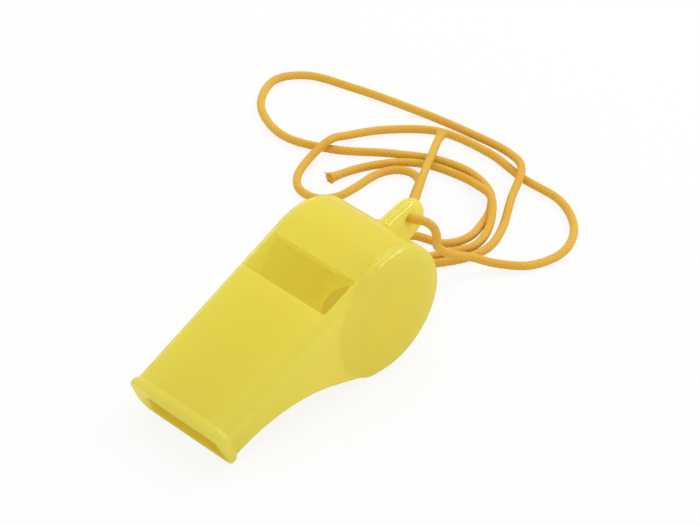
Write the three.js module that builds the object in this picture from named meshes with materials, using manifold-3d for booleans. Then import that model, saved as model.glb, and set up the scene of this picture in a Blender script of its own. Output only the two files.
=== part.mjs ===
import * as THREE from 'three';
import { mergeVertices } from 'three/addons/utils/BufferGeometryUtils.js';
import Module from 'manifold-3d';

// A moulded plastic whistle with a ball inside and a cord through its lug, lying on a table.
// All sizes are millimetres. The whistle has a frame of its own, with its origin on the drum's axis:
// X runs from the mouth to the lug, Y to the left side, and Z straight up out of the flat top.

// drum, its width taken over the cap
const drumRadius = 11.25;
const drumWidth = 20.4;
const drumWall = 1.35;
const leftFace = 10.0;
const leftWall = 1.5;
const edgeRound = 1.6;

// end cap, let into the open right side of the drum and a hair smaller than it
const capGap = 0.3;
const capThickness = 1.6;
const capInset = 0.05;
const capFlatRadius = 7.6;
const capDome = 0.45;
const capRound = 0.9;
const spigotHeight = 1.0;
const spigotWall = 1.2;

// mouthpiece
const mouthReach = 34.0;
const mouthHeight = 6.65;
const mouthTaper = 0.7;
const capStep = 0.5;
const lowerLeftRound = 2.2;
const lowerRightRound = 1.0;
const undersideAngle = THREE.MathUtils.degToRad(41);
const undersideRadius = 30;

// raised rim round the mouth
const rimLength = 1.3;
const rimProud = 0.45;
const rimRound = 0.35;

// windway from the mouth to the window
const windwaySideWall = 1.6;
const mouthRoof = 2.3;
const mouthSlot = 3.5;
const exitRoof = 1.3;
const exitSlot = 1.25;
const slotRound = 1.1;
const exitRound = 0.3;

// window in the flat top, as wide as the chamber under it
const windowInset = 0.05;
const windowLength = 7.05;

// lug for the cord
const lugThickness = 2.5;
const lugReach = 7.2;
const lugDrop = 0.45;
const lugTipRadius = 3.65;
const lugRootTop = 4.0;
const lugRootBottom = -4.4;
const holeForward = 0.1;
const holeRise = 0.75;
const holeRadius = 1.3;

// ball
const ballRadius = 4.5;
const ballGap = 0.4;
const ballSideGap = 1.25;

// cord: one end of it hangs out of the lug's left side, the rest leaves on the right and lies in loops
const cordDiameter = 1.5;
const cordSides = 8;
const loopedRoute = [
  // from inside the hole, out on the right and down behind the cap
  [22.9, 0.05, 18], [23, -1.4, 18.3], [23.7, -3.1, 18.2], [25.2, -4, 17], [27, -3.6, 14.9],
  [29.2, -2.2, 11.9], [32, -0.4, 7.8], [35.1, 0, 4.8], [39.1, -1.2, 2.9], [42.6, -4, 1.4],
  // the outer loop, round to the left and back over itself
  [47, -7.5, 0.8], [53.4, -8.8, 0.8], [60, -6, 0.8], [64.7, 0.8, 0.8], [65.1, 9.8, 0.8],
  [66.5, 18.5, 0.8], [64.9, 28.8, 0.8], [58.2, 35.4, 0.8], [51.9, 38.2, 1.2], [46.6, 38.8, 2.6],
  [41, 37.9, 1.2], [36.7, 35.6, 0.8], [34.2, 32.6, 0.8], [34.4, 29.2, 0.8], [37.1, 27.1, 0.8],
  [41.4, 26.8, 0.8], [46, 27.1, 0.8], [49.6, 26.5, 0.8], [52.1, 24.4, 0.8], [52.3, 21.4, 0.8],
  // behind the lug, round to the right and out into the long narrow loop
  [49.9, 19.1, 0.8], [44.2, 15, 0.8], [38.6, 10.2, 0.8], [35.9, 6, 0.8], [36, 2, 0.8],
  [38.4, -0.7, 0.8], [41.8, -1.2, 0.8], [45.8, 0, 0.8], [51, 2.2, 0.8], [58.6, 6.7, 1.2],
  [65, 10.1, 2.7], [68.2, 15.6, 1.6], [68.7, 25.2, 0.8], [67, 35.2, 0.8], [63.7, 48.4, 0.8],
  [60.5, 56.4, 0.8], [55.3, 59.1, 0.8], [48.1, 55.8, 0.8], [44, 46.2, 0.8], [47, 37.4, 0.8],
  // the small inner loop and its hairpin, back to the cut end
  [53.8, 29.6, 0.8], [58.4, 22.8, 0.8], [59.6, 16.7, 0.8], [57.8, 10.8, 0.8], [53.8, 7.2, 0.8],
  [48.8, 5.6, 0.8], [45, 6.5, 0.8], [41.4, 7.8, 0.8], [38.6, 6.8, 0.8], [37.7, 4.3, 0.8],
  [38.9, 1.9, 0.8], [42, 1.1, 0.8], [46.2, 2.1, 0.8], [51, 4.4, 1.7], [54.5, 7.8, 2.8],
  [56.8, 12.6, 1.6], [57.5, 17.6, 0.8], [55.8, 23.4, 0.8], [52.7, 27, 0.8], [46.6, 30.2, 0.8],
  [40, 31.9, 0.8],
];
const tailRoute = [
  [22.9, 0.35, 18], [23, 1.9, 17.7], [23.8, 3.5, 16.8], [25.7, 5, 15], [29.4, 6.5, 12],
  [33.5, 8.7, 9.2], [37.6, 11.2, 6.9], [41.7, 13.7, 5.2], [46.8, 17.2, 3.6], [51.8, 20.4, 2.9],
  [57, 23.3, 2.7], [61.2, 25.6, 2.6], [65.2, 27.2, 2.6],
];

const chamberRadius = drumRadius - drumWall;
const chamberLeft = leftFace - leftWall;
const capRadius = drumRadius - capInset;
const capFace = leftFace - drumWidth;
const capInner = capFace + capThickness;
const shellEnd = capInner + capGap;
const spigotTop = shellEnd + spigotHeight;
const mouthLeft = leftFace - mouthTaper;
const rightFace = capFace + capStep;
const mouthBottom = drumRadius - mouthHeight;
const windowFront = windowInset - chamberRadius;
const windowBack = windowFront + windowLength;
const lugTip = [drumRadius + lugReach - lugTipRadius, -lugDrop];
const holeCentre = [lugTip[0] + holeForward, lugTip[1] + holeRise];
const ballSide = spigotTop + ballSideGap + ballRadius;

// how far a cut runs on past the surface that it opens
const cutOverrun = 1;

const yellowPlastic = new THREE.MeshStandardMaterial({ color: 0xe6d748, roughness: 0.32 });
const ballPlastic = new THREE.MeshStandardMaterial({ color: 0xcfc9b4, roughness: 0.6 });
const orangeCord = new THREE.MeshStandardMaterial({ color: 0xdcaa48, roughness: 0.85 });

const wasm = await Module();
wasm.setup();

function toSolid(geometry) {
  const bare = geometry.index ? geometry.clone() : geometry;
  bare.deleteAttribute('normal');
  bare.deleteAttribute('uv');
  const merged = mergeVertices(bare, 1e-4);
  return new wasm.Manifold(new wasm.Mesh({
    numProp: 3,
    vertProperties: new Float32Array(merged.attributes.position.array),
    triVerts: new Uint32Array(merged.index.array),
  }));
}

function toGeometry(solid) {
  const mesh = solid.getMesh();
  const geometry = new THREE.BufferGeometry();
  geometry.setAttribute('position', new THREE.BufferAttribute(new Float32Array(mesh.vertProperties), 3));
  geometry.setIndex(new THREE.BufferAttribute(new Uint32Array(mesh.triVerts), 1));
  geometry.computeVertexNormals();
  return geometry;
}

// flats round the drum, the chamber and the cap
const drumSegments = 96;

// a solid of revolution about the drum's axis; each profile point is [radius, y], given from low y to high y
function turned(profile, segments) {
  const points = profile.map(([radius, y]) => new THREE.Vector2(radius, y));
  return new THREE.LatheGeometry(points, segments);
}

// an outline in the X-Z plane made into a slab between two values of y
function slab(outline, yLow, yHigh, curveSegments = 24) {
  const geometry = new THREE.ExtrudeGeometry(outline, {
    depth: yHigh - yLow, bevelEnabled: false, curveSegments,
  });
  geometry.rotateX(Math.PI / 2);
  geometry.translate(0, yHigh, 0);
  return geometry;
}

// one section across the mouthpiece: a rectangle with four rounded corners, as [y, z] points
function roundedSection({ left, right, bottom, top, rounds, steps = 4 }) {
  const corners = [
    [left, top, rounds.topLeft, 0],
    [right, top, rounds.topRight, Math.PI / 2],
    [right, bottom, rounds.lowerRight, Math.PI],
    [left, bottom, rounds.lowerLeft, 1.5 * Math.PI],
  ];
  const points = [];
  for (const [y, z, round, start] of corners) {
    const yCentre = y > 0.5 * (left + right) ? y - round : y + round;
    const zCentre = z > 0.5 * (top + bottom) ? z - round : z + round;
    for (let i = 0; i <= steps; i++) {
      const angle = start + (i / steps) * (Math.PI / 2);
      points.push([yCentre + round * Math.cos(angle), zCentre + round * Math.sin(angle)]);
    }
  }
  return points;
}

// a closed body through sections with equal point counts, each given as { x, points }
function loft(sections) {
  const count = sections[0].points.length;
  const positions = [];
  const index = [];
  for (const { x, points } of sections) {
    for (const [y, z] of points) positions.push(x, y, z);
  }
  for (let s = 0; s + 1 < sections.length; s++) {
    for (let i = 0; i < count; i++) {
      const a = s * count + i;
      const b = s * count + ((i + 1) % count);
      index.push(a, b, b + count, a, b + count, a + count);
    }
  }
  const last = (sections.length - 1) * count;
  for (let i = 1; i + 1 < count; i++) {
    index.push(0, i + 1, i);
    index.push(last, last + i, last + i + 1);
  }
  const geometry = new THREE.BufferGeometry();
  geometry.setAttribute('position', new THREE.Float32BufferAttribute(positions, 3));
  geometry.setIndex(index);
  return geometry;
}

// the underside leaves the lip level, bends down on an arc and meets the drum as a tangent
const tangentX = -drumRadius * Math.sin(undersideAngle);
const tangentZ = -drumRadius * Math.cos(undersideAngle);
const bendX = tangentX - (mouthBottom - tangentZ) / Math.tan(undersideAngle);
const bendStart = bendX - undersideRadius * Math.tan(undersideAngle / 2);
const bendEnd = bendStart + undersideRadius * Math.sin(undersideAngle);

function undersideAt(x) {
  if (x <= bendStart) return mouthBottom;
  if (x >= bendEnd) return tangentZ + (tangentX - x) * Math.tan(undersideAngle);
  return mouthBottom - undersideRadius + Math.sqrt(undersideRadius ** 2 - (x - bendStart) ** 2);
}

function leftSideAt(x) {
  return THREE.MathUtils.mapLinear(x, -mouthReach, 0, mouthLeft, leftFace);
}

function mouthpieceSection(x, bottom, proud = 0) {
  const points = roundedSection({
    left: leftSideAt(x) + proud,
    right: rightFace - proud,
    bottom: bottom - proud,
    top: drumRadius + proud,
    rounds: {
      topLeft: edgeRound, topRight: edgeRound, lowerRight: lowerRightRound, lowerLeft: lowerLeftRound,
    },
  });
  return { x, points };
}

function makeMouthpiece() {
  const rimMiddle = -mouthReach - rimLength / 2;
  const sections = [mouthpieceSection(rimMiddle, mouthBottom)];
  const steps = 12;
  for (let i = 0; i <= steps; i++) {
    const x = THREE.MathUtils.lerp(-mouthReach + rimProud, tangentX, i / steps);
    sections.push(mouthpieceSection(x, undersideAt(x)));
  }
  sections.push(mouthpieceSection(0, tangentZ));
  return toSolid(loft(sections));
}

// the rim's front edge and its back edge are quarter circles, the back one down into the mouthpiece
function makeRim() {
  const front = -mouthReach - rimLength;
  const backRound = rimProud + rimRound;
  const frontEdge = [];
  const backEdge = [];
  const steps = 3;
  for (let i = 0; i <= steps; i++) {
    const angle = (i / steps) * (Math.PI / 2);
    const cos = Math.cos(angle);
    const sin = Math.sin(angle);
    frontEdge.push([front + rimRound * (1 - cos), rimProud - rimRound * (1 - sin)]);
    backEdge.push([backRound * sin - mouthReach - rimRound, backRound * cos - rimRound]);
  }
  const profile = [...frontEdge, ...backEdge];
  return toSolid(loft(profile.map(([x, proud]) => mouthpieceSection(x, mouthBottom, proud))));
}

function makeDrum() {
  const profile = [[0, shellEnd], [drumRadius, shellEnd]];
  const steps = 5;
  for (let i = 0; i <= steps; i++) {
    const angle = (i / steps) * (Math.PI / 2);
    profile.push([
      drumRadius - edgeRound + edgeRound * Math.cos(angle),
      leftFace - edgeRound + edgeRound * Math.sin(angle),
    ]);
  }
  profile.push([0, leftFace]);
  return toSolid(turned(profile, drumSegments));
}

// a tongue from the drum's back with a round tip and a round hole across it
function makeLug() {
  const [tipX, tipZ] = lugTip;
  const rootX = chamberRadius * Math.cos(Math.asin(lugRootBottom / chamberRadius));
  const slopeTop = Math.atan2(lugRootTop - (tipZ + lugTipRadius), tipX - rootX);
  const slopeLow = Math.atan2(tipZ - lugTipRadius - lugRootBottom, tipX - rootX);
  const outline = new THREE.Shape();
  outline.moveTo(rootX, lugRootTop);
  outline.lineTo(rootX, lugRootBottom);
  outline.absarc(tipX, tipZ, lugTipRadius, slopeLow - Math.PI / 2, Math.PI / 2 - slopeTop, false);
  const tongue = toSolid(slab(outline, -lugThickness / 2, lugThickness / 2, 14));

  const hole = new THREE.Shape();
  hole.absarc(...holeCentre, holeRadius, 0, 2 * Math.PI, false);
  return tongue.subtract(toSolid(slab(hole, -lugThickness, lugThickness, 20)));
}

// the air path: a slot that narrows from the mouth to the window
function makeWindway() {
  const slotSection = ({ left, right, top, height, round }) => roundedSection({
    left, right, top, bottom: top - height,
    rounds: { topLeft: round, topRight: round, lowerRight: round, lowerLeft: round },
  });
  const mouth = slotSection({
    left: mouthLeft - windwaySideWall,
    right: rightFace + windwaySideWall,
    top: drumRadius - mouthRoof,
    height: mouthSlot,
    round: slotRound,
  });
  const exit = slotSection({
    left: chamberLeft - exitRound,
    right: shellEnd + exitRound,
    top: drumRadius - exitRoof,
    height: exitSlot,
    round: exitRound,
  });
  return toSolid(loft([
    { x: -mouthReach - 2 * rimLength, points: mouth },
    { x: -mouthReach + 2 * rimLength, points: mouth },
    { x: windowFront + windowInset, points: exit },
  ]));
}

// the window and the space under it, down to the level of the drum's axis; behind the window
// the wall ends in a plain edge as thick as the drum's wall
function makeWindow() {
  const outline = new THREE.Shape();
  outline.moveTo(windowFront, 0);
  outline.lineTo(0, 0);
  outline.lineTo(0, chamberRadius);
  outline.lineTo(windowBack, chamberRadius);
  outline.lineTo(windowBack, drumRadius + cutOverrun);
  outline.lineTo(windowFront, drumRadius + cutOverrun);
  return toSolid(slab(outline, shellEnd, chamberLeft));
}

function makeBody() {
  const bored = (radius, yLow, yHigh) => toSolid(turned([
    [0, yLow], [radius, yLow], [radius, yHigh], [0, yHigh],
  ], drumSegments));
  const chamber = bored(chamberRadius, shellEnd - cutOverrun, chamberLeft);
  const capSeat = bored(capRadius + capGap, capFace - cutOverrun, shellEnd);
  return makeMouthpiece()
    .subtract(capSeat)
    .add(makeDrum())
    .add(makeRim())
    .add(makeLug())
    .subtract(chamber)
    .subtract(makeWindow())
    .subtract(makeWindway());
}

// a plate with a flat middle, a slightly domed border and a rounded edge, and a spigot ring inside
function makeCap() {
  const spigotOuter = chamberRadius - capGap;
  const spigotInner = spigotOuter - spigotWall;
  const domeEdge = capRadius - capRound;
  const profile = [[0, capFace]];
  const domeSteps = 2;
  for (let i = 0; i < domeSteps; i++) {
    const share = i / domeSteps;
    profile.push([
      THREE.MathUtils.lerp(capFlatRadius, domeEdge, share),
      capFace + capDome * share ** 2,
    ]);
  }
  const roundSteps = 4;
  for (let i = 0; i <= roundSteps; i++) {
    const angle = (i / roundSteps) * (Math.PI / 2);
    profile.push([
      domeEdge + capRound * Math.sin(angle),
      capFace + capDome + capRound * (1 - Math.cos(angle)),
    ]);
  }
  profile.push(
    [capRadius, capInner],
    [spigotOuter, capInner],
    [spigotOuter, spigotTop],
    [spigotInner, spigotTop],
    [spigotInner, capInner],
    [0, capInner],
  );
  return turned(profile, drumSegments);
}

// a curve whose steps fall on the points of its route, which lie closer together in the bends
class RouteCurve extends THREE.CatmullRomCurve3 {
  getUtoTmapping(u) {
    return u;
  }
}

function makeCord(route) {
  const section = new THREE.Shape();
  for (let i = 0; i < cordSides; i++) {
    const angle = (i / cordSides) * 2 * Math.PI;
    const corner = [0.5 * cordDiameter * Math.cos(angle), 0.5 * cordDiameter * Math.sin(angle)];
    if (i === 0) section.moveTo(...corner);
    else section.lineTo(...corner);
  }
  return new THREE.ExtrudeGeometry(section, {
    extrudePath: new RouteCurve(route.map((point) => new THREE.Vector3(...point))),
    steps: route.length - 1,
    bevelEnabled: false,
  });
}

function named(name, geometry, material) {
  const mesh = new THREE.Mesh(geometry, material);
  mesh.name = name;
  return mesh;
}

// the whistle rests on the drum and on the rim's lower edge: both touch the table
const lipX = -mouthReach - rimLength + rimRound;
const lipZ = mouthBottom - rimProud + rimRound;
const lipDistance = Math.hypot(lipX, lipZ);
const tilt = Math.asin((drumRadius - rimRound) / lipDistance) + Math.atan2(lipZ, -lipX);

const whistle = new THREE.Group();
whistle.add(named('whistle_body', toGeometry(makeBody()), yellowPlastic));
whistle.add(named('end_cap', makeCap(), yellowPlastic));
const ball = named('ball', new THREE.SphereGeometry(ballRadius, 24, 16), ballPlastic);
const orbitRadius = chamberRadius - ballRadius - ballGap;
ball.position.set(-orbitRadius * Math.sin(tilt), ballSide, -orbitRadius * Math.cos(tilt));
whistle.add(ball);
whistle.rotation.y = -tilt;
whistle.position.z = drumRadius;

// the table is at the height 0, under the middle of the whistle without its cord
const extent = new THREE.Box3().setFromObject(whistle, true);
whistle.position.x -= 0.5 * (extent.min.x + extent.max.x);
whistle.position.y -= 0.5 * (extent.min.y + extent.max.y);

const part = new THREE.Group();
part.add(whistle);
part.add(named('lanyard_cord', makeCord(loopedRoute), orangeCord));
part.add(named('lanyard_tail', makeCord(tailRoute), orangeCord));

export default part;
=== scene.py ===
import math

import bmesh
import bpy
import numpy as np
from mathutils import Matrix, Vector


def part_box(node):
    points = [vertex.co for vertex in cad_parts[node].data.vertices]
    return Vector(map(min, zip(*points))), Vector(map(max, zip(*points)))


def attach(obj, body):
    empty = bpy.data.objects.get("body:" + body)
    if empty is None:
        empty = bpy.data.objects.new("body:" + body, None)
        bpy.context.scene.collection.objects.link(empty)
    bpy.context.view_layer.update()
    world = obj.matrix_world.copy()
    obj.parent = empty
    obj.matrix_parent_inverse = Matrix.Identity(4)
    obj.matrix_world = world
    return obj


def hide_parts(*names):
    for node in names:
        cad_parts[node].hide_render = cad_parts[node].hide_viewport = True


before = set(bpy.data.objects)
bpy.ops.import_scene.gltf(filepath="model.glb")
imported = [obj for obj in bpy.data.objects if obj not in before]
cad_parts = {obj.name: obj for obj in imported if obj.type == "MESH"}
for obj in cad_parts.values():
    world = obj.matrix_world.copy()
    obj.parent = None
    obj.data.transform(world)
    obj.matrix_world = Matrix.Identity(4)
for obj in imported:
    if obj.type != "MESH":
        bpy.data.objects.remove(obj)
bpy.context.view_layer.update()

import openvdb
from mathutils import Matrix, Vector, noise

# Everything below is in millimetres until a mesh is made, which turns it to metres.
MM = 0.001


# View
# The photograph looks down on the whistle from the front right with a long lens, from about half a metre.
# The camera's place, turn and lens were fitted to the whistle's outline in it.
photo_width_px = 700
focal_length_px = 3000
sensor_width_mm = 36
view_azimuth, view_elevation, view_roll = -49.21, 36.27, 4.36
view_from = Vector((-272.43, -244.28, 289.54)) * MM

camera = bpy.data.objects.new("camera", bpy.data.cameras.new("camera"))
camera.data.sensor_width = sensor_width_mm
camera.data.lens = sensor_width_mm * focal_length_px / photo_width_px
turn = Matrix.Rotation(math.radians(view_azimuth), 4, "Z")
nod = Matrix.Rotation(math.radians(90 - view_elevation), 4, "X")
roll = Matrix.Rotation(math.radians(view_roll), 4, "Z")
camera.matrix_world = Matrix.Translation(view_from) @ turn @ nod @ roll
bpy.context.scene.collection.objects.link(camera)
bpy.context.scene.camera = camera


# Long cord
# A thin cord braided from eight strands of golden polyester yarn. It leaves the lug's hole on the right,
# drops to the table and lies there in three loose turns up to its cut end. The end has opened a little,
# and one longer yarn stands out of it in a hook.
cord_diameter = 1.5
cord_route = [
    # from inside the hole, out on the right and down behind the cap
    [22.9, 0.05, 18], [22.9, -1.1, 18.3], [23.3, -2.3, 18.5], [24.3, -3.2, 18.1], [25.7, -3.5, 16.7],
    [27.3, -3, 14.5], [29.2, -1.8, 11.7], [31.9, 0, 7.8], [35.1, 0.1, 4.8], [39.1, -1.2, 2.9],
    [42.6, -4, 1.4],
    # the first loop, round to the left and back over itself
    [47, -7.5, 0.8], [53.4, -8.8, 0.8], [60, -6, 0.8], [64.7, 0.8, 0.8], [65.1, 9.8, 0.8],
    [66.5, 18.5, 0.8], [64.9, 28.8, 0.8], [58.2, 35.4, 0.8], [51.9, 38, 1.2], [46.7, 37.8, 2.6],
    [41.3, 37.5, 1.2], [36.7, 35.6, 0.8], [34.2, 32.6, 0.8], [34.4, 29.2, 0.8], [37.1, 27.1, 0.8],
    [41.4, 26.8, 0.8], [46, 27.1, 0.8], [48.6, 26.8, 0.8], [50.9, 25.6, 0.8], [52, 23.4, 0.8],
    [51.2, 21, 0.8],
    # behind the lug and the drum, round to the right and out into the long narrow loop
    [48.7, 19.4, 0.8], [43.9, 16.7, 0.8], [40.5, 15.2, 0.8], [37.3, 14.5, 0.8], [34, 13.6, 0.8],
    [31.6, 11.6, 0.8], [31.2, 8.6, 0.8], [32.6, 6, 0.8], [35, 3.9, 0.8], [38.2, 2, 0.8],
    [41.6, 0.7, 0.8], [45.8, 0.4, 0.8], [51, 2.2, 0.8], [58.6, 6.7, 1.2], [65, 10.1, 2.7],
    [68.2, 15.6, 1.6], [68.6, 25.2, 0.8], [67, 35.2, 0.8], [63.7, 48.4, 0.8], [60.5, 56.4, 0.8],
    [55.3, 59.1, 0.8], [47.4, 54.9, 0.8], [43.7, 45.9, 0.8], [47, 37.4, 0.8],
    # the small inner loop and its hairpin, back to the cut end
    [53.8, 29.6, 0.8], [58.4, 22.8, 0.8], [59.6, 16.7, 0.8], [57.8, 10.8, 0.8], [53.8, 7.2, 0.8],
    [49.2, 5.3, 0.8], [46, 4.5, 0.8], [42.8, 4.9, 0.8], [40.7, 6.3, 0.8], [39.8, 8.7, 0.8],
    [38.8, 10.9, 0.8], [36.6, 12, 0.8], [34.4, 11.2, 0.8], [33.4, 9, 0.8], [34.1, 6.8, 0.8],
    [36.2, 5.3, 0.8], [38.5, 4.3, 0.8], [41.2, 3.2, 0.8], [43.8, 2.3, 0.8], [47, 2.7, 0.9],
    [51, 4.6, 1.7], [54.5, 7.8, 2.8], [56.8, 12.6, 1.6], [57.5, 17.6, 0.8], [55.8, 23.4, 0.8],
    [52.7, 27, 0.8], [46.6, 30.2, 0.8], [40.4, 31.7, 0.8],
]
curve_samples, ring_spacing, ring_sides, path_step = 40, 0.15, 24, 4
table_gap = 0.02
# The braid's strands, and how the height of a strand falls to its sides and swings as it passes over and
# under. The full height is then scaled to the relief's size.
strands_each_way, strand_spacing, relief_height = 4, 0.95, 0.04
strand_fall, weave_swing, weave_mean = 2.601, 0.5, 1.2
# An opened end widens into uneven lobes, each row with their depth, number and turn.
flare_length, flare_growth, end_bulge = 2.4, 0.46, 0.25
flare_lobes = ((0.22, 3, 0.7), (0.12, 5, 2.0))
# Its loose yarn ends differ by sines of their number, which have these paces and starts.
yarn_ends, yarn_radius, yarn_taper, yarn_sides, yarn_rings = 14, 0.1, 0.6, 6, 6
yarn_root, yarn_shortest, yarn_longer, yarn_rise, yarn_sway, yarn_turn = 0.3, 0.15, 0.3, 0.15, 0.15, 0.3
turn_pace, sway_pace, spread_pace, spread_start, length_pace, length_start = 5, 4, 3.1, 0.5, 2.3, 1
hook_from_axis, hook_reach, hook_rise, hook_radius = 0.85, 1.15, 0.75, 0.2


def even_line(route, spacing):
    """Points at an even spacing on the smooth curve through a route, and the curve's length."""
    knots = np.array(route, float)
    knots = np.vstack([2 * knots[0] - knots[1], knots, 2 * knots[-1] - knots[-2]])
    share = np.linspace(0, 1, curve_samples, endpoint=False)[:, None]
    fine = []
    for before, start, end, after in zip(knots, knots[1:], knots[2:], knots[3:]):
        stretches = ((before, start), (start, end), (end, after))
        t0, t1, t2 = (np.linalg.norm(far - near) ** 0.5 for near, far in stretches)
        leave = ((start - before) / t0 - (end - before) / (t0 + t1) + (end - start) / t1) * t1
        arrive = ((end - start) / t1 - (after - start) / (t1 + t2) + (after - end) / t2) * t1
        square = 3 * (end - start) - 2 * leave - arrive
        cube = 2 * (start - end) + leave + arrive
        fine.append(start + leave * share + square * share**2 + cube * share**3)
    fine = np.vstack([*fine, knots[-2:-1]])
    along = np.concatenate([[0], np.cumsum(np.linalg.norm(np.diff(fine, axis=0), axis=1))])
    places = np.linspace(0, along[-1], round(along[-1] / spacing) + 1)
    return np.column_stack([np.interp(places, along, fine[:, k]) for k in range(3)]), along[-1]


def cross_frames(line):
    """Two directions across the line at each of its points, carried along it without twist."""
    ways = np.gradient(line, axis=0)
    ways /= np.linalg.norm(ways, axis=1)[:, None]
    side = np.cross(ways[0], (0, 0, 1))
    sides = []
    for way in ways:
        side = side - way * np.dot(side, way)
        side /= np.linalg.norm(side)
        sides.append(side)
    sides = np.array(sides)
    return sides, np.cross(ways, sides)


def braid_relief(around, along):
    """Height of the braid's surface over its mean, as a share of the relief. Strands wind both ways and pass
    over and under each other in turn."""
    first = around * strands_each_way / (2 * math.pi) + along / strand_spacing
    second = around * strands_each_way / (2 * math.pi) - along / strand_spacing
    first_strand, second_strand = np.round(first), np.round(second)
    off_first, off_second = first - first_strand, second - second_strand
    weave = np.where((first_strand + second_strand) % 2 == 0, weave_swing, -weave_swing)
    over_first = np.sqrt(1 - strand_fall * off_first**2) + weave * np.cos(math.pi * off_second)
    over_second = np.sqrt(1 - strand_fall * off_second**2) - weave * np.cos(math.pi * off_first)
    return np.maximum(over_first, over_second) - weave_mean


def tube_faces(rings, sides, first=0):
    """Faces between rings of points that follow each other, the very first of which has the number first."""
    faces = []
    for ring in range(rings - 1):
        start = first + ring * sides
        for k in range(sides):
            right = (k + 1) % sides
            faces.append((start + k, start + right, start + right + sides, start + k + sides))
    return faces


def new_mesh_object(name, points, faces):
    """A smooth object in the scene from points in millimetres."""
    mesh = bpy.data.meshes.new(name)
    mesh.from_pydata((np.asarray(points) * MM).tolist(), [], faces)
    mesh.update()
    mesh.shade_smooth()
    made = bpy.data.objects.new(name, mesh)
    bpy.context.scene.collection.objects.link(made)
    return made


def store_values(made, name, values):
    """Keeps a value for each point of an object, which its material reads by that name."""
    stored = made.data.attributes.new(name, "FLOAT", "POINT")
    stored.data.foreach_set("value", values.astype(np.float32))


def loose_yarn(end, way, side, up, hooks, first):
    """Points and faces of the short yarn ends that stand out of a cut end, the last ones as longer hooks.
    The first point has the number first."""
    points, faces = [], []
    for k in range(yarn_ends + hooks):
        if k < yarn_ends:
            angle = 2 * math.pi * k / yarn_ends + yarn_turn * math.sin(turn_pace * k)
            outward = side * math.cos(angle) + up * math.sin(angle)
            spread = 0.5 + 0.5 * abs(math.sin(spread_pace * k + spread_start))
            from_axis = 0.5 * cord_diameter * spread
            reach = yarn_shortest + yarn_longer * abs(math.sin(length_pace * k + length_start))
            rise, thickness = yarn_rise, yarn_radius
        else:
            outward = np.array([0, 0, 1.0])
            from_axis, reach, rise, thickness = hook_from_axis, hook_reach, hook_rise, hook_radius
        sideways = np.cross(way, outward)
        for ring in range(yarn_rings):
            share = ring / (yarn_rings - 1)
            centre = end + way * (reach * share - yarn_root * (1 - share))
            centre = centre + outward * (from_axis + rise * share**2)
            centre = centre + sideways * yarn_sway * math.sin(sway_pace * k) * share**2
            for corner in range(yarn_sides):
                turned = 2 * math.pi * corner / yarn_sides
                across = outward * math.cos(turned) + sideways * math.sin(turned)
                points.append(centre + across * thickness * (1 - yarn_taper * share**3))
        faces += tube_faces(yarn_rings, yarn_sides, first + k * yarn_rings * yarn_sides)
    return np.array(points), faces


def braided_cord(name, route, opened_ends, hooks=0):
    """A braided tube along a route, with the line that it follows and its length. opened_ends says which of
    its two ends have opened, and hooks how many longer yarns stand out of them."""
    line, length = even_line(route, ring_spacing)
    sides, ups = cross_frames(line)
    along = np.linspace(0, length, len(line))[:, None]
    around = (np.arange(ring_sides) * 2 * math.pi / ring_sides)[None, :]
    relief = braid_relief(around, along)
    radius = 0.5 * cord_diameter - relief_height + relief_height * relief
    lobes = 1 + sum(depth * np.cos(number * around + turned) for depth, number, turned in flare_lobes)
    for opened, distance in zip(opened_ends, (along, length - along)):
        if opened:
            near_end = np.clip(1 - distance / flare_length, 0, 1) ** 2
            radius = radius * (1 + flare_growth * near_end * lobes)
    across = sides[:, None] * np.cos(around)[..., None] + ups[:, None] * np.sin(around)[..., None]
    points = (line[:, None] + across * radius[..., None]).reshape(-1, 3)
    faces = tube_faces(len(line), ring_sides)
    # each end is closed on one more point, which stands out a little where the end has opened
    leads = np.array([line[0] - line[1], line[-1] - line[-2]]) / ring_spacing
    points = np.vstack([points, line[[0, -1]] + leads * end_bulge * np.array(opened_ends)[:, None]])
    last_ring = (len(line) - 1) * ring_sides
    for k in range(ring_sides):
        right = (k + 1) % ring_sides
        faces.append((len(points) - 2, right, k))
        faces.append((len(points) - 1, last_ring + k, last_ring + right))
    heights = np.append(relief.ravel(), [0, 0])
    for opened, end, lead in zip(opened_ends, (0, -1), leads):
        if opened:
            yarn_points, yarn_faces = loose_yarn(line[end], lead, sides[end], ups[end], hooks, len(points))
            points = np.vstack([points, yarn_points])
            faces += yarn_faces
            heights = np.append(heights, np.zeros(len(yarn_points)))
    points[:, 2] = np.maximum(points[:, 2], table_gap)
    made = new_mesh_object(name, points, faces)
    store_values(made, "relief", heights)
    return made, line, length


def linear(hex_colour):
    """An sRGB hex colour as the linear colour that a shader takes."""
    parts = [int(hex_colour[k:k + 2], 16) / 255 for k in (1, 3, 5)]
    return tuple(c / 12.92 if c <= 0.04045 else ((c + 0.055) / 1.055) ** 2.4 for c in parts) + (1,)


def link(source, node, socket):
    """Feeds an output into a socket of a node."""
    node.id_data.links.new(source, node.inputs[socket])


def add_node(material, kind, links=(), inputs=(), **settings):
    """Adds a node: settings are its own properties, inputs its socket values, links its incoming sockets."""
    node = material.node_tree.nodes.new(kind)
    for key, value in settings.items():
        setattr(node, key, value)
    for socket, value in dict(inputs).items():
        node.inputs[socket].default_value = value
    for socket, source in dict(links).items():
        link(source, node, socket)
    return node


def new_material(name, colour, **surface):
    """A material with one principled surface, whose constant values are set on its own sockets."""
    material = bpy.data.materials.new(name)
    material.use_nodes = True
    material.diffuse_color = linear(colour)
    shader = material.node_tree.nodes["Principled BSDF"]
    shader.inputs["Base Color"].default_value = linear(colour)
    for socket, value in surface.items():
        shader.inputs[socket.replace("_", " ")].default_value = value
    return material, shader
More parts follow.
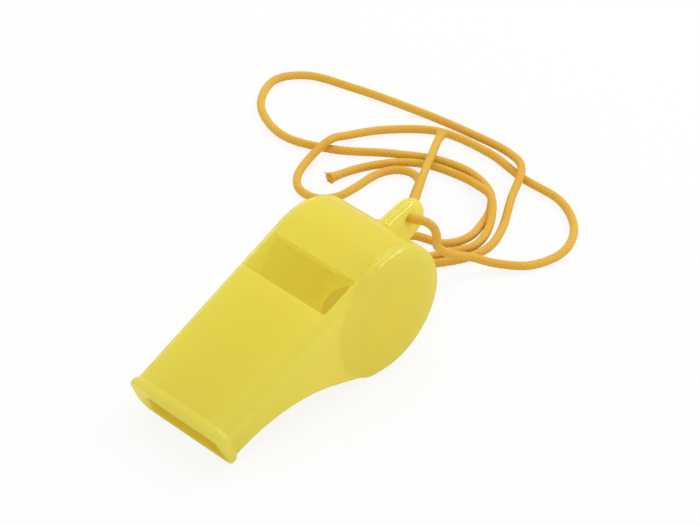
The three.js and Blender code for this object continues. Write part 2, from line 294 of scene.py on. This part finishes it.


# Braided polyester yarn: matt with a soft sheen, golden on the crowns of the strands, with painted shade
# in deeper orange in the grooves between them. The single filaments are too fine to show, so they are drawn
# 0.12 mm wide.
cord_gold, cord_light, cord_groove_shade, cord_sheen = "#e4b036", "#e4bb44", "#de9428", "#f0b848"
dye_patch, dye_low, dye_high = 9, 0.35, 0.7
groove_height, crown_height = -0.9, 0.1
filament_width, fuzz_height, fuzz_strength = 0.12, 0.04, 0.35
cord_material, cord_shader = new_material("braided_polyester_yarn", cord_gold, Roughness=0.72, IOR=1.4,
                                          Sheen_Weight=0.15, Sheen_Roughness=0.5,
                                          Sheen_Tint=linear(cord_sheen))
place = add_node(cord_material, "ShaderNodeTexCoord")
height = add_node(cord_material, "ShaderNodeAttribute", attribute_name="relief")
dye = add_node(cord_material, "ShaderNodeTexNoise", {"Vector": place.outputs["Object"]},
               {"Scale": 1 / (dye_patch * MM), "Detail": 2.0})
filaments = add_node(cord_material, "ShaderNodeTexNoise", {"Vector": place.outputs["Object"]},
                     {"Scale": 1 / (filament_width * MM), "Detail": 2.0})
dye_range = add_node(cord_material, "ShaderNodeMapRange", {"Value": dye.outputs["Fac"]},
                     {"From Min": dye_low, "From Max": dye_high})
dyed = add_node(cord_material, "ShaderNodeMix", {"Factor": dye_range.outputs["Result"]},
                {"A": linear(cord_gold), "B": linear(cord_light)}, data_type="RGBA")
# painted shade: the braid's low grooves take the deeper orange, and its crowns keep the dyed gold
groove_shade_mask = add_node(cord_material, "ShaderNodeMapRange", {"Value": height.outputs["Fac"]},
                 {"From Min": groove_height, "From Max": crown_height})
shaded = add_node(cord_material, "ShaderNodeMix",
                  {"Factor": groove_shade_mask.outputs["Result"], "B": dyed.outputs["Result"]},
                  {"A": linear(cord_groove_shade)}, data_type="RGBA")
fuzz = add_node(cord_material, "ShaderNodeBump", {"Height": filaments.outputs["Fac"]},
                {"Strength": fuzz_strength, "Distance": fuzz_height * MM})
link(shaded.outputs["Result"], cord_shader, "Base Color")
link(fuzz.outputs["Normal"], cord_shader, "Normal")

long_cord, long_line, long_length = braided_cord("long_cord", cord_route, (False, True), hooks=1)
long_cord.data.materials.append(cord_material)
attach(long_cord, "whistle")
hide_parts("lanyard_cord")


# Short end of the cord
# The same cord goes on through the hole and out on the left. This end sags down over the loops and stops,
# cut and a little opened, just short of the first loop's far side.
tail_route = [
    [22.9, 0.35, 18], [22.95, 1.2, 17.8], [23.4, 2.1, 17.2], [24.5, 2.9, 16.2], [26.4, 3.9, 14.5],
    [29.6, 5.9, 12], [33.5, 8.7, 9.2], [37.6, 11.2, 6.9], [41.7, 13.7, 5.2], [46.8, 17.2, 3.6],
    [51.8, 20.4, 2.9], [57, 23.3, 2.7], [60, 25, 2.6], [62.7, 26.3, 2.6],
]
short_cord, short_line, short_length = braided_cord("short_cord", tail_route, (False, True))
short_cord.data.materials.append(cord_material)
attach(short_cord, "whistle")
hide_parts("lanyard_tail")


# Whistle body
# One moulding of yellow polypropylene: the mouthpiece with its raised rim, windway and window, the drum
# with its closed left side, and the lug. It is drawn in its own frame, as the solid model is: the origin
# on the drum's axis, X from the mouth to the lug, Y to the left, Z straight up out of the flat top.
drum_radius, drum_width, drum_wall = 11.25, 20.4, 1.35
left_face, left_wall, edge_round = 10.0, 1.5, 1.6
seam_gap, cap_thickness, cap_gap, cap_inset, cap_step = 0.05, 1.6, 0.3, 0.05, 0.5
seat_overlap = 0.15
mouth_reach, mouth_height, mouth_taper, taper_share = 34.0, 6.65, 0.7, 1.1
lower_left_round, lower_right_round = 2.2, 1.0
underside_angle, underside_radius = math.radians(41), 30
rim_length, rim_proud, rim_round, rim_root_round = 1.3, 0.45, 0.35, 0.5
windway_left_wall, windway_right_wall, windway_slant = 2.9, 1.9, 0.24
mouth_roof, mouth_slot, slot_round, mouth_edge_round = 2.3, 4.1, 0.4, 0.35
exit_roof, exit_slot, exit_round = 1.3, 1.25, 0.3
window_inset, window_length = 0.05, 7.05
lug_thickness, lug_reach, lug_drop, lug_tip_radius = 2.5, 7.2, 0.45, 3.65
lug_root_radius, lug_root_height, lug_edge_round, lug_root_fillet = 4.2, -0.2, 1.2, 0.6
hole_forward, hole_rise, hole_radius, hole_edge_round = 0.1, 0.75, 1.15, 0.2
moulded_edge = 0.15

chamber_radius = drum_radius - drum_wall
chamber_left = left_face - left_wall
cap_radius = drum_radius - cap_inset
cap_face = left_face - drum_width
shell_end = cap_face + cap_thickness + cap_gap
mouth_left = left_face - mouth_taper
right_face = cap_face + cap_step
mouth_bottom = drum_radius - mouth_height
window_front = window_inset - chamber_radius
window_back = window_front + window_length
lug_tip = (drum_radius + lug_reach - lug_tip_radius, -lug_drop)
hole_centre = (lug_tip[0] + hole_forward, lug_tip[1] + hole_rise)
tangent_x = -drum_radius * math.sin(underside_angle)
tangent_z = -drum_radius * math.cos(underside_angle)
bend_start = (tangent_x - (mouth_bottom - tangent_z) / math.tan(underside_angle)
              - underside_radius * math.tan(underside_angle / 2))

# The whistle rests on its drum and on the lower edge of its rim, which gives the tilt.
lip_x = -mouth_reach - rim_length + rim_round
lip_z = mouth_bottom - rim_proud + rim_round
tilt = math.asin((drum_radius - rim_round) / math.hypot(lip_x, lip_z)) + math.atan2(lip_z, -lip_x)
cap_low, cap_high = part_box("end_cap")
drum_axis = (cap_low + cap_high) / (2 * MM)
drum_axis.y = cap_low.y / MM - cap_face


def tilted(directions):
    """Directions of the whistle's own frame, as the whistle lies on the table."""
    x, y, z = np.asarray(directions, float).T
    forward = x * math.cos(tilt) - z * math.sin(tilt)
    upward = x * math.sin(tilt) + z * math.cos(tilt)
    return np.column_stack([forward, y, upward])


def on_table(points):
    """Points of the whistle's own frame, as the whistle lies on the table."""
    return tilted(points) + np.array(drum_axis)


# A form is given by its distance from each point, negative inside it. These three join forms with
# a rounded edge or a hollow fillet, as a mould has.
def common(a, b, round_radius):
    corner = np.hypot(np.maximum(a + round_radius, 0), np.maximum(b + round_radius, 0))
    return np.minimum(np.maximum(a, b), -round_radius) + corner


def without(a, b, round_radius):
    return common(a, -b, round_radius)


def joined(a, b, fillet_radius):
    corner = np.hypot(np.maximum(fillet_radius - a, 0), np.maximum(fillet_radius - b, 0))
    return np.maximum(np.minimum(a, b), fillet_radius) - corner


def underside(x, z):
    """Distance below the mouthpiece's underside, which is level at the lip, bends down on an arc and runs
    straight to the drum."""
    arc_x, arc_z = bend_start, mouth_bottom - underside_radius
    angle = np.arctan2(x - arc_x, z - arc_z)
    on_arc = underside_radius - np.hypot(x - arc_x, z - arc_z)
    level = mouth_bottom - z
    slope = -((x - tangent_x) * math.sin(underside_angle) + (z - tangent_z) * math.cos(underside_angle))
    return np.where(angle < 0, level, np.where(angle < underside_angle, on_arc, slope))


def mouth_section(x, y, z):
    """Distance from the mouthpiece's long rounded box, without its ends. Its left side goes on at the same
    slant a little past the mouth, for the rim."""
    left = y - left_face + mouth_taper * np.clip(-x / mouth_reach, 0, taper_share)
    beside = np.maximum(left, right_face - y)
    below = underside(x, z)
    level = np.maximum(below, z - drum_radius)
    is_left, is_low = left > right_face - y, below > z - drum_radius
    edge = np.where(is_low, np.where(is_left, lower_left_round, lower_right_round), edge_round)
    return common(beside, level, edge)


def lug_outline(x, z):
    """Distance from the lug's outline seen from the side: a large circle in the drum and a small one
    at the tip, with their common tangents."""
    root_x = chamber_radius
    run_x, run_z = lug_tip[0] - root_x, lug_tip[1] - lug_root_height
    run = math.hypot(run_x, run_z)
    forward = ((x - root_x) * run_x + (z - lug_root_height) * run_z) / run
    sideways = np.abs((z - lug_root_height) * run_x - (x - root_x) * run_z) / run
    narrowing = (lug_root_radius - lug_tip_radius) / run
    along = math.sqrt(1 - narrowing**2)
    lean = sideways * -narrowing + forward * along
    from_root = np.hypot(forward, sideways) - lug_root_radius
    from_tip = np.hypot(forward - run, sideways) - lug_tip_radius
    from_sides = sideways * along + forward * narrowing - lug_root_radius
    return np.where(lean < 0, from_root, np.where(lean > along * run, from_tip, from_sides))


def windway(x, y, z):
    """Distance from the air channel, which narrows from the mouth to the window."""
    share = np.clip((x + mouth_reach) / (window_front + mouth_reach), 0, 1)
    slot_left = mouth_left - windway_left_wall + share * (chamber_left - mouth_left + windway_left_wall)
    slot_top = drum_radius - mouth_roof + share * (mouth_roof - exit_roof)
    slot_right = right_face + windway_right_wall + share * (shell_end - right_face - windway_right_wall)
    slot_right = slot_right - (1 - share) * windway_slant * np.clip(slot_top - z, 0, mouth_slot)
    slot_bottom = slot_top - mouth_slot + share * (mouth_slot - exit_slot)
    slot = common(np.maximum(y - slot_left, slot_right - y), np.maximum(z - slot_top, slot_bottom - z),
                  slot_round + share * (exit_round - slot_round))
    return np.maximum(slot, x - window_front - 2 * window_inset)


def body_form(x, y, z):
    """Distance from the whole body's surface."""
    from_axis = np.hypot(x, z)
    section = mouth_section(x, y, z)
    # the mouthpiece ends inside the drum, on the line from its axis to where the underside meets it
    inner_end = np.maximum(x, x * math.cos(underside_angle) - z * math.sin(underside_angle))
    rim_front = -mouth_reach - rim_length
    mouthpiece = np.maximum(np.maximum(section, inner_end), rim_front + 0.5 * rim_length - x)
    seat = np.maximum(from_axis - cap_radius + seat_overlap, y - shell_end)
    mouthpiece = np.maximum(mouthpiece, -seat)
    rim_ends = np.maximum(rim_front - x, x + mouth_reach)
    rim = common(section - rim_proud, rim_ends, rim_round)
    shell = common(from_axis - drum_radius, y - left_face, edge_round)
    shell = common(shell, shell_end - y, moulded_edge)
    body = joined(np.minimum(mouthpiece, shell), rim, rim_root_round)
    lug = common(lug_outline(x, z), np.abs(y) - 0.5 * lug_thickness, lug_edge_round)
    body = joined(body, lug, lug_root_fillet)
    hole = np.hypot(x - hole_centre[0], z - hole_centre[1]) - hole_radius
    body = without(body, hole, hole_edge_round)
    # hollows: the round chamber, the window above it and the windway from the mouth
    chamber = common(from_axis - chamber_radius, y - chamber_left, slot_round)
    window = np.maximum(np.maximum(window_front - x, x - window_back), -z)
    window = common(window, np.maximum(shell_end - y, y - chamber_left), exit_round)
    body = without(body, windway(x, y, z), mouth_edge_round)
    return without(body, np.minimum(chamber, window), moulded_edge)


# The body's surface is found on a grid in this box and then moved onto the form itself.
grid_low = np.array([-36.0, -11.0, -12.0])
grid_high = np.array([19.2, 11.2, 12.4])
grid_step, band_steps, surface_passes, slope_reach = 0.2, 3, 3, 0.01


def slope_of(form, points):
    """The form's gradient and value at points."""
    slope = []
    for axis in np.eye(3) * slope_reach:
        slope.append((form(*(points + axis).T) - form(*(points - axis).T)) / (2 * slope_reach))
    return np.column_stack(slope), form(*points.T)


def surface_of(form, low, high, step):
    """Points, faces and outward directions of a form's surface, from a grid with that step."""
    counts = np.ceil((high - low) / step).astype(int) + 1
    x, y, z = (low[k] + step * np.arange(counts[k]) for k in range(3))
    band = band_steps * step
    distance = np.clip(form(x[:, None, None], y[None, :, None], z[None, None, :]), -band, band)
    grid = openvdb.FloatGrid(band)
    grid.copyFromArray(np.ascontiguousarray(distance, np.float32))
    points, quads = grid.convertToQuads(isovalue=0)
    points = low + points.astype(float) * step
    for _ in range(surface_passes):
        gradient, value = slope_of(form, points)
        points = points - value[:, None] * gradient / (gradient**2).sum(1)[:, None]
    outward = slope_of(form, points)[0]
    return points, quads, outward / np.linalg.norm(outward, axis=1)[:, None]


body_points, body_faces, body_normals = surface_of(body_form, grid_low, grid_high, grid_step)
body = new_mesh_object("moulded_body", on_table(body_points), body_faces.tolist())
body.data.normals_split_custom_set_from_vertices(tilted(body_normals).tolist())
# painted shade between walls, as a share at each point: fully in the first millimetres of the windway and a
# little in the chamber
mouth_depth, chamber_shade_share = 3, 0.12
walled_shade = np.clip(1 - windway(*body_points.T) / mouth_edge_round, 0, 1)
walled_shade *= np.clip(1 - (body_points[:, 0] + mouth_reach) / mouth_depth, 0, 1)
in_chamber = np.hypot(body_points[:, 0], body_points[:, 2]) < chamber_radius + moulded_edge
in_chamber &= body_points[:, 1] < chamber_left + moulded_edge
walled_shade = np.maximum(walled_shade, chamber_shade_share * in_chamber)
store_values(body, "walled_shade", walled_shade)

# Moulded polypropylene: clear strong yellow with a soft shine and the faint unevenness that a mould
# leaves. Its walls are thin, so more than half of the light goes through them and makes the plastic glow.
light_through = 0.58
plastic_yellow, plastic_deep, plastic_glow = "#fff763", "#fff25c", "#fff9a8"
plastic_roof_shade, plastic_walled_shade = "#f0e858", "#e8d45c"
flow_width, mould_width, mould_depth = 12, 2.5, 0.006
noise_low, noise_high, polish_low, polish_high = 0.3, 0.7, 0.1, 0.18
roof_shade_from, roof_shade_to = -28, 0
body_material, body_shader = new_material("moulded_polypropylene", plastic_yellow, Roughness=0.14, IOR=1.45,
                                          Specular_IOR_Level=1.0)
place = add_node(body_material, "ShaderNodeTexCoord")
flow = add_node(body_material, "ShaderNodeTexNoise", {"Vector": place.outputs["Object"]},
                {"Scale": 1 / (flow_width * MM), "Detail": 3.0})
mould = add_node(body_material, "ShaderNodeTexNoise", {"Vector": place.outputs["Object"]},
                 {"Scale": 1 / (mould_width * MM), "Detail": 2.0})
polish = add_node(body_material, "ShaderNodeMapRange", {"Value": mould.outputs["Fac"]},
                  {"From Min": noise_low, "From Max": noise_high, "To Min": polish_low,
                   "To Max": polish_high})
ripple = add_node(body_material, "ShaderNodeBump", {"Height": mould.outputs["Fac"]},
                  {"Strength": 1.0, "Distance": mould_depth * MM})
link(polish.outputs["Result"], body_shader, "Roughness")
link(ripple.outputs["Normal"], body_shader, "Normal")
flowed = add_node(body_material, "ShaderNodeMix", {"Factor": flow.outputs["Fac"]},
                  {"A": linear(plastic_yellow), "B": linear(plastic_deep)}, data_type="RGBA")
# painted shade: darker toward the mouth, where the roof is thicker and less light comes through it
places = add_node(body_material, "ShaderNodeSeparateXYZ", {"Vector": place.outputs["Object"]})
roof_shade_mask = add_node(body_material, "ShaderNodeMapRange", {"Value": places.outputs["X"]},
                   {"From Min": roof_shade_from * MM, "From Max": roof_shade_to * MM})
tone = add_node(body_material, "ShaderNodeMix",
                {"Factor": roof_shade_mask.outputs["Result"], "B": flowed.outputs["Result"]},
                {"A": linear(plastic_roof_shade)}, data_type="RGBA")
# painted shade: deeper colour between walls, for light that has gone to and fro there; the glow through the
# walls is deepened there too
walled_shade_amount = add_node(body_material, "ShaderNodeAttribute", attribute_name="walled_shade")
walled = add_node(body_material, "ShaderNodeMix",
                  {"Factor": walled_shade_amount.outputs["Fac"], "A": tone.outputs["Result"]},
                  {"B": linear(plastic_walled_shade)}, data_type="RGBA")
glow_tone = add_node(body_material, "ShaderNodeMix", {"Factor": walled_shade_amount.outputs["Fac"]},
                     {"A": linear(plastic_glow), "B": linear(plastic_walled_shade)}, data_type="RGBA")
link(walled.outputs["Result"], body_shader, "Base Color")
glow = add_node(body_material, "ShaderNodeBsdfTranslucent", {"Color": glow_tone.outputs["Result"]})
glowing = add_node(body_material, "ShaderNodeMixShader",
                   {1: body_shader.outputs["BSDF"], 2: glow.outputs["BSDF"]}, {0: light_through})
link(glowing.outputs["Shader"], body_material.node_tree.nodes["Material Output"], "Surface")
body.data.materials.append(body_material)
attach(body, "whistle")
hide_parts("whistle_body")


# End cap
# The round plate that closes the drum's right side, moulded of the same plastic and glued in. Its middle
# is flat, its border falls away a little, and a spigot ring inside centres it in the shell.
cap_flat_radius, cap_dome, cap_round, cap_flush_round, seam_edge = 7.6, 0.45, 0.9, 0.06, 0.08
flush_depth, middle_shade_fade = 0.49, 0.9
spigot_height, spigot_wall = 1.0, 1.2
cap_segments, border_rings, edge_rings, seam_rings = 192, 12, 10, 4
flat_shares = (0.3, 0.6, 0.8, 0.9)
# Degrees round the drum's axis, where the mouthpiece's side lies flush with the cap.
side_middle, side_half_width, side_fade = 172.5, 47.5, 25

cap_inner = shell_end - seam_gap
spigot_outer = chamber_radius - cap_gap
spigot_top = shell_end + spigot_height


def cap_profile(free):
    """The cap's section as [radius, y] from its face to its inner side: rounded where free is 1, level with
    the mouthpiece's side where it is 0."""
    edge = cap_flush_round + (cap_round - cap_flush_round) * free
    border = cap_face + flush_depth + (cap_dome - flush_depth) * free
    edge_start = cap_radius - edge
    profile = [(cap_flat_radius * share, cap_face) for share in flat_shares]
    for share in np.linspace(0, 1, border_rings, endpoint=False):
        fall = free * share**2 + (1 - free) * (3 - 2 * share) * share**2
        profile.append((cap_flat_radius + share * (edge_start - cap_flat_radius),
                        cap_face + fall * (border - cap_face)))
    for angle in np.linspace(0, math.pi / 2, edge_rings):
        profile.append((edge_start + edge * math.sin(angle), border + edge * (1 - math.cos(angle))))
    for angle in np.linspace(0, math.pi / 2, seam_rings):
        profile.append((cap_radius - seam_edge * (1 - math.cos(angle)),
                        cap_inner - seam_edge * (1 - math.sin(angle))))
    return profile + [
        (spigot_outer, cap_inner), (spigot_outer, spigot_top), (spigot_outer - spigot_wall, spigot_top),
        (spigot_outer - spigot_wall, cap_inner),
    ]


cap_points = [(0, cap_face, 0), (0, cap_inner, 0)]
for k in range(cap_segments):
    angle = 2 * math.pi * k / cap_segments
    # the round is full on the drum's free side and fades where the mouthpiece's side lies flush
    into_side = min(abs((math.degrees(angle) - side_middle + 180) % 360 - 180), side_half_width + side_fade)
    free = max(0, (into_side - side_half_width) / side_fade)
    free = free * free * (3 - 2 * free)
    cap_points += [(r * math.cos(angle), y, r * math.sin(angle)) for r, y in cap_profile(free)]
rings = len(cap_profile(1))
cap_faces = []
for k in range(cap_segments):
    here, there = 2 + k * rings, 2 + (k + 1) % cap_segments * rings
    cap_faces.append((0, here, there))
    cap_faces.append((1, there + rings - 1, here + rings - 1))
    for step in range(rings - 1):
        cap_faces.append((here + step, here + step + 1, there + step + 1, there + step))
cap = new_mesh_object("end_plate", on_table(cap_points), cap_faces)
# painted shade: the flat middle deepens in colour, fading out across the start of its border
radii = np.array([math.hypot(x, z) for x, _, z in cap_points])
middle_shade = np.clip((cap_flat_radius + middle_shade_fade - radii) / (2 * middle_shade_fade), 0, 1)
store_values(cap, "middle_shade", middle_shade)

# The same polypropylene, through which a little less light comes than through the body's walls. The flat
# middle is thin over the hollow drum, and it carries painted shade: a little deeper in colour.
cap_middle_shade, cap_through, cap_shine = "#fdee50", 0.52, 0.8
cap_material = body_material.copy()
cap_material.name = "moulded_polypropylene_plate"
cap_shader = cap_material.node_tree.nodes["Principled BSDF"]
cap_shader.inputs["Specular IOR Level"].default_value = cap_shine
cap_material.node_tree.nodes["Mix Shader"].inputs[0].default_value = cap_through
middle_shade_amount = add_node(cap_material, "ShaderNodeAttribute", attribute_name="middle_shade")
border_tone = cap_shader.inputs["Base Color"].links[0].from_socket
cap_tone = add_node(cap_material, "ShaderNodeMix", {"Factor": middle_shade_amount.outputs["Fac"], "A": border_tone},
                    {"B": linear(cap_middle_shade)}, data_type="RGBA")
link(cap_tone.outputs["Result"], cap_shader, "Base Color")
cap.data.materials.append(cap_material)
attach(cap, "whistle")
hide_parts("end_cap")


# Ball
# A loose pale ball of matt plastic, moulded in two halves whose parting line runs round it. It lies free
# in the chamber, where a small part of it shows through the window.
ball_radius, ball_subdivisions = 4.5, 5
ball_relief, ball_unevenness, unevenness_pace = 0.05, 0.03, 2.5
parting_height, parting_width = 0.05, 0.12
ball_low, ball_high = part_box("ball")
ball_centre = (ball_low + ball_high) / 2
ball_mesh = bmesh.new()
bmesh.ops.create_icosphere(ball_mesh, subdivisions=ball_subdivisions, radius=ball_radius * MM)
for vertex in ball_mesh.verts:
    way = vertex.co.normalized()
    unevenness = ball_unevenness * noise.noise(way * unevenness_pace)
    parting = parting_height * math.exp(-((way.z * ball_radius / parting_width) ** 2))
    vertex.co = way * (ball_radius - ball_relief + unevenness + parting) * MM + ball_centre
ball_data = bpy.data.meshes.new("loose_ball")
ball_mesh.to_mesh(ball_data)
ball_mesh.free()
ball_data.shade_smooth()
ball = bpy.data.objects.new("loose_ball", ball_data)
bpy.context.scene.collection.objects.link(ball)

# Matt moulded plastic: pale and finely speckled, without shine. Much light goes through it, so that it glows
# like the body round it.
ball_pale, ball_light, ball_speck, ball_lit = "#f5edb0", "#faf3bc", "#f0e6a4", "#fffbd0"
speck_width, ball_through = 0.8, 0.6
ball_material, ball_shader = new_material("matt_moulded_plastic", ball_pale, Roughness=0.6, IOR=1.49)
place = add_node(ball_material, "ShaderNodeTexCoord")
specks = add_node(ball_material, "ShaderNodeTexNoise", {"Vector": place.outputs["Object"]},
                  {"Scale": 1 / (speck_width * MM), "Detail": 3.0})
speckled = add_node(ball_material, "ShaderNodeMix", {"Factor": specks.outputs["Fac"]},
                    {"A": linear(ball_light), "B": linear(ball_speck)}, data_type="RGBA")
link(speckled.outputs["Result"], ball_shader, "Base Color")
ball_glow = add_node(ball_material, "ShaderNodeBsdfTranslucent", inputs={"Color": linear(ball_lit)})
ball_glowing = add_node(ball_material, "ShaderNodeMixShader",
                        {1: ball_shader.outputs["BSDF"], 2: ball_glow.outputs["BSDF"]}, {0: ball_through})
link(ball_glowing.outputs["Shader"], ball_material.node_tree.nodes["Material Output"], "Surface")
ball.data.materials.append(ball_material)
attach(ball, "ball")
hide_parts("ball")


# Floor and light
# A plain white table in even studio light from all round, with a large soft lamp above and a smaller one
# behind. Two long lamps at the sides show only as the narrow gleams that they leave on rounded edges.
floor_reach = 4000
floor_corners = [(x * floor_reach, y * floor_reach, 0) for x, y in ((-1, -1), (1, -1), (1, 1), (-1, 1))]
floor = new_mesh_object("floor", floor_corners, [(0, 1, 2, 3)])

# Matt white paint. To the camera, and through the plastic, it is mostly plain white, and the rest of it is
# lit, so that it keeps the whistle's soft shadow.
paint_white, table_white_share = "#f6f6f6", 0.85
floor_material, floor_shader = new_material("matt_white_paint", paint_white, Roughness=0.9)
rays = add_node(floor_material, "ShaderNodeLightPath")
seen = add_node(floor_material, "ShaderNodeMath",
                {0: rays.outputs["Is Camera Ray"], 1: rays.outputs["Is Transmission Ray"]},
                operation="MAXIMUM")
white_share = add_node(floor_material, "ShaderNodeMath", {0: seen.outputs[0]}, {1: table_white_share},
                       operation="MULTIPLY")
white = add_node(floor_material, "ShaderNodeEmission")
painted = add_node(floor_material, "ShaderNodeMixShader",
                   {0: white_share.outputs[0], 1: floor_shader.outputs[0], 2: white.outputs[0]})
link(painted.outputs[0], floor_material.node_tree.nodes["Material Output"], "Surface")
floor.data.materials.append(floor_material)

room_light = 0.8
world = bpy.data.worlds.new("studio")
world.use_nodes = True
world.node_tree.nodes["Background"].inputs["Color"].default_value = (1, 1, 1, 1)
world.node_tree.nodes["Background"].inputs["Strength"].default_value = room_light
bpy.context.scene.world = world


def soft_lamp(name, place, aim, width, height, power):
    """A softbox at a place, turned to a point, with its sizes in millimetres and its power in watts."""
    lamp = bpy.data.objects.new(name, bpy.data.lights.new(name, "AREA"))
    lamp.data.shape = "RECTANGLE"
    lamp.data.size = width * MM
    lamp.data.size_y = height * MM
    lamp.data.energy = power
    lamp.location = Vector(place) * MM
    lamp.rotation_euler = (Vector(aim) - Vector(place)).to_track_quat("-Z", "Y").to_euler()
    bpy.context.scene.collection.objects.link(lamp)
    return lamp


drum_back, drum_left = (20, 0, 10), (5, 10, 20)
soft_lamp("overhead_lamp", place=(250, 100, 600), aim=drum_back, width=400, height=400, power=0.8)
soft_lamp("back_lamp", place=(470, -20, 380), aim=drum_back, width=150, height=150, power=0.45)
gleam_lamp = soft_lamp("gleam_lamp", place=(345, -385, 340), aim=drum_back, width=460, height=110, power=2.0)
left_lamp = soft_lamp("left_lamp", place=(215, 465, 200), aim=drum_left, width=440, height=110, power=0.6)
for lamp in (gleam_lamp, left_lamp):
    lamp.visible_diffuse = False
    lamp.visible_transmission = False

# colours show about as they are written
bpy.context.scene.view_settings.view_transform = "Standard"
